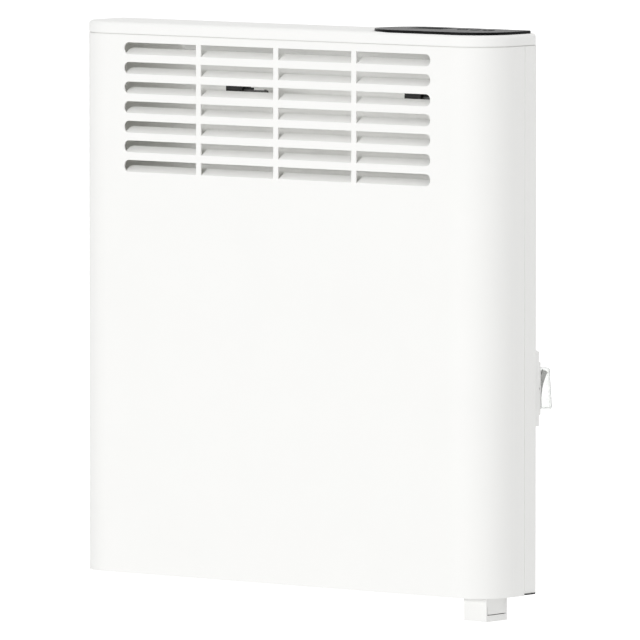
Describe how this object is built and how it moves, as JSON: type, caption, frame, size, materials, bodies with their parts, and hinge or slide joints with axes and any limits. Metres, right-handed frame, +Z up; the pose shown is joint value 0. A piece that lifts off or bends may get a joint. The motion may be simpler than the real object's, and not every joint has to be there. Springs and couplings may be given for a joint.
{
  "type": "wall convector heater",
  "caption": "Flat wall-hung electric convector: white steel casing with louvred outlet, black control unit on the top cover, rocker switch at the rear corner, lifts off a wall bracket.",
  "frame": {"origin": "middle of the wall bracket's four bolt holes, on the wall plane", "axes": "+Z up, +X to the right seen from the front, +Y into the wall; the front faces -Y"},
  "size_m": [0.4336, 0.097, 0.4739],
  "materials": {
    "casing_white": "satin powder coat",
    "moulding_white": "fine grain",
    "panel_black": "satin gloss",
    "window_dark": "polished",
    "key_black": "fine grain",
    "rocker_grey": "satin",
    "clear_cover": "clear",
    "zinc_steel": "zinc coated",
    "shield_white": "matt coil coat",
    "spring_steel": "blued",
    "element_alloy": "as cast",
    "contact_metal": "plain",
    "device_dark": "moulded",
    "board_green": "satin",
    "insulator_grey": "moulded"
  },
  "bodies": {
    "bracket": {"wall_bracket": "zinc_steel"},
    "heater": {"front_casing": "casing_white", "rear_panel": "casing_white", "top_cover": "moulding_white", "sensor_base": "moulding_white", "sensor_cover": "moulding_white", "switch_plate": "moulding_white", "switch_housing": "moulding_white", "control_bezel": "panel_black", "display_window": "window_dark", "switch_boot": "clear_cover", "intake_grille": "zinc_steel", "element_bracket_left": "zinc_steel", "element_bracket_right": "zinc_steel", "heat_shield": "shield_white", "front_shield": "shield_white", "partition": "shield_white", "cutout_stay_left": "shield_white", "cutout_stay_right": "shield_white", "heating_element": "element_alloy", "element_terminals": "contact_metal", "switch_terminals": "contact_metal", "cutout_arm_left": "spring_steel", "cutout_arm_right": "spring_steel", "cutout_left": "device_dark", "cutout_right": "device_dark", "power_relay": "device_dark", "transformer": "device_dark", "key_switches": "device_dark", "lcd_module": "device_dark", "room_sensor": "device_dark", "control_board": "board_green", "power_board": "board_green", "board_spacers": "insulator_grey", "shield_spacers": "insulator_grey", "terminal_block": "insulator_grey", "cord_gland": "insulator_grey", "wall_spacer_left": "insulator_grey", "wall_spacer_right": "insulator_grey"},
    "rocker": {"rocker": "rocker_grey"},
    "menu_key": {"key_menu": "key_black"},
    "minus_key": {"key_minus": "key_black"},
    "plus_key": {"key_plus": "key_black"}
  },
  "joints": [
    {"name": "lift_off", "type": "slide", "parent": "bracket", "child": "heater", "axis": [0, 0, 1], "range_m": [0, 0.012]},
    {"name": "rocker_tip", "type": "hinge", "parent": "heater", "child": "rocker", "pos_m": [0.20653, -0.0186, -0.105], "axis": [0.7071, -0.7071, 0], "range_deg": [0, 19]},
    {"name": "menu_press", "type": "slide", "parent": "heater", "child": "menu_key", "axis": [0, 0, -1], "range_m": [0, 0.0008], "stiffness_N_per_m": 400, "springref_m": -0.0006},
    {"name": "minus_press", "type": "slide", "parent": "heater", "child": "minus_key", "axis": [0, 0, -1], "range_m": [0, 0.0008], "stiffness_N_per_m": 400, "springref_m": -0.0006},
    {"name": "plus_press", "type": "slide", "parent": "heater", "child": "plus_key", "axis": [0, 0, -1], "range_m": [0, 0.0008], "stiffness_N_per_m": 400, "springref_m": -0.0006}
  ]
}
